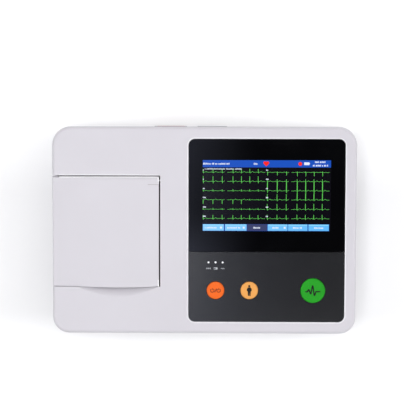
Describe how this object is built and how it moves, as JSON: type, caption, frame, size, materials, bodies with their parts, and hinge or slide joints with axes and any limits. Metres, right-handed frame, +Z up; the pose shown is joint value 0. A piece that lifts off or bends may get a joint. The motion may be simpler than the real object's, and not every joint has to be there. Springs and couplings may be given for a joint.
{
  "type": "ecg machine",
  "caption": "Flat desktop ECG recorder: pale rounded case, black glass screen panel with round keys, lift-up paper door, printer, feet and rear power sockets.",
  "frame": {"origin": "on the table under the middle of the casing", "axes": "+Z up, +X to the right of the person at the keys, +Y to the rear, where the mains sockets are"},
  "size_m": [0.315, 0.2166, 0.077],
  "materials": {
    "shell": "fine matt moulding",
    "panel": "satin",
    "screen_glass": "glossy black-printed touch glass",
    "display": "lit colour display",
    "orange_key": "satin",
    "amber_key": "satin",
    "green_key": "satin",
    "lamp": "clear moulding",
    "silicone": "soft silicone",
    "rubber": "matt",
    "dark_plastic": "matt",
    "printer_plastic": "matt",
    "red_rocker": "glossy",
    "steel": "plain zinc-plated",
    "brass": "plain",
    "circuit_board": "solder mask",
    "gear_plastic": "acetal",
    "paper": "thermal paper",
    "battery_wrap": "shrink wrap"
  },
  "bodies": {
    "housing": {"top_case": "shell", "bottom_case": "shell", "battery_cover": "shell", "key_panel": "panel", "touch_glass": "screen_glass", "lcd_module": "display", "light_pipe_1": "lamp", "light_pipe_2": "lamp", "light_pipe_3": "lamp", "power_dome": "silicone", "patient_dome": "silicone", "print_dome": "silicone", "foot_1": "rubber", "foot_2": "rubber", "foot_3": "rubber", "foot_4": "rubber", "rear_panel": "dark_plastic", "mains_inlet": "dark_plastic", "switch_frame": "dark_plastic", "speaker": "dark_plastic", "door_catch": "dark_plastic", "paper_bay": "printer_plastic", "case_screw_1": "steel", "case_screw_2": "steel", "case_screw_3": "steel", "case_screw_4": "steel", "battery_cover_screw": "steel", "lan_port": "steel", "usb_port": "steel", "lead_connector": "steel", "lead_jackscrew_1": "steel", "lead_jackscrew_2": "steel", "lcd_bracket": "steel", "hinge_pin_right": "steel", "gear_plate": "steel", "stepper_motor": "steel", "head_spring_1": "steel", "head_spring_2": "steel", "tear_bar": "steel", "ground_post": "brass", "main_board": "circuit_board", "key_board": "circuit_board", "power_board": "circuit_board", "battery_pack": "battery_wrap"},
    "paper_door": {"paper_door": "shell", "hinge_pin_left": "steel"},
    "power_key": {"power_key": "orange_key"},
    "patient_key": {"patient_key": "amber_key"},
    "print_key": {"print_key": "green_key"},
    "mains_rocker": {"mains_rocker": "red_rocker"},
    "paper_spool": {"paper_roll": "paper", "paper_spindle": "dark_plastic"},
    "platen": {"platen_roller": "rubber", "platen_shaft": "steel", "platen_gear": "gear_plastic"},
    "idler_gear": {"idler_gear": "gear_plastic"},
    "motor_pinion": {"motor_pinion": "brass"},
    "thermal_head": {"thermal_head": "steel"}
  },
  "joints": [
    {"name": "paper_door_hinge", "type": "hinge", "parent": "housing", "child": "paper_door", "pos_m": [-0.102, 0.0519, 0.07197], "axis": [-1, 0, 0], "range_deg": [0, 90]},
    {"name": "power_key_press", "type": "slide", "parent": "housing", "child": "power_key", "axis": [0, 0, -1], "range_m": [0, 0.0008], "stiffness_N_per_m": 500, "springref_m": -0.0004, "deforming": ["power_dome"]},
    {"name": "patient_key_press", "type": "slide", "parent": "housing", "child": "patient_key", "axis": [0, 0, -1], "range_m": [0, 0.0008], "stiffness_N_per_m": 500, "springref_m": -0.0004, "deforming": ["patient_dome"]},
    {"name": "print_key_press", "type": "slide", "parent": "housing", "child": "print_key", "axis": [0, 0, -1], "range_m": [0, 0.0008], "stiffness_N_per_m": 500, "springref_m": -0.0004, "deforming": ["print_dome"]},
    {"name": "mains_rocker_tilt", "type": "hinge", "parent": "housing", "child": "mains_rocker", "pos_m": [-0.0358, 0.1001, 0.036], "axis": [1, 0, 0], "range_deg": [0, 16]},
    {"name": "paper_spool_turn", "type": "hinge", "parent": "housing", "child": "paper_spool", "pos_m": [-0.092, 0, 0.041], "axis": [0, 1, 0], "continuous": true},
    {"name": "platen_turn", "type": "hinge", "parent": "housing", "child": "platen", "pos_m": [-0.138, 0, 0.06], "axis": [0, 1, 0], "continuous": true},
    {"name": "idler_gear_turn", "type": "hinge", "parent": "housing", "child": "idler_gear", "pos_m": [-0.12273, 0.0592, 0.04473], "axis": [0, 1, 0], "continuous": true},
    {"name": "motor_pinion_turn", "type": "hinge", "parent": "housing", "child": "motor_pinion", "pos_m": [-0.1088, 0.0592, 0.03533], "axis": [0, 1, 0], "continuous": true},
    {"name": "thermal_head_press", "type": "slide", "parent": "housing", "child": "thermal_head", "axis": [0, 0, -1], "range_m": [0, 0.001], "stiffness_N_per_m": 3000, "springref_m": -0.002, "deforming": ["head_spring_1", "head_spring_2"]}
  ],
  "couplings": [
    {"joint": "platen_turn", "follows": "paper_spool_turn", "ratio": -3.4286},
    {"joint": "idler_gear_turn", "follows": "paper_spool_turn", "ratio": 2.7429},
    {"joint": "motor_pinion_turn", "follows": "paper_spool_turn", "ratio": -6.8571}
  ]
}
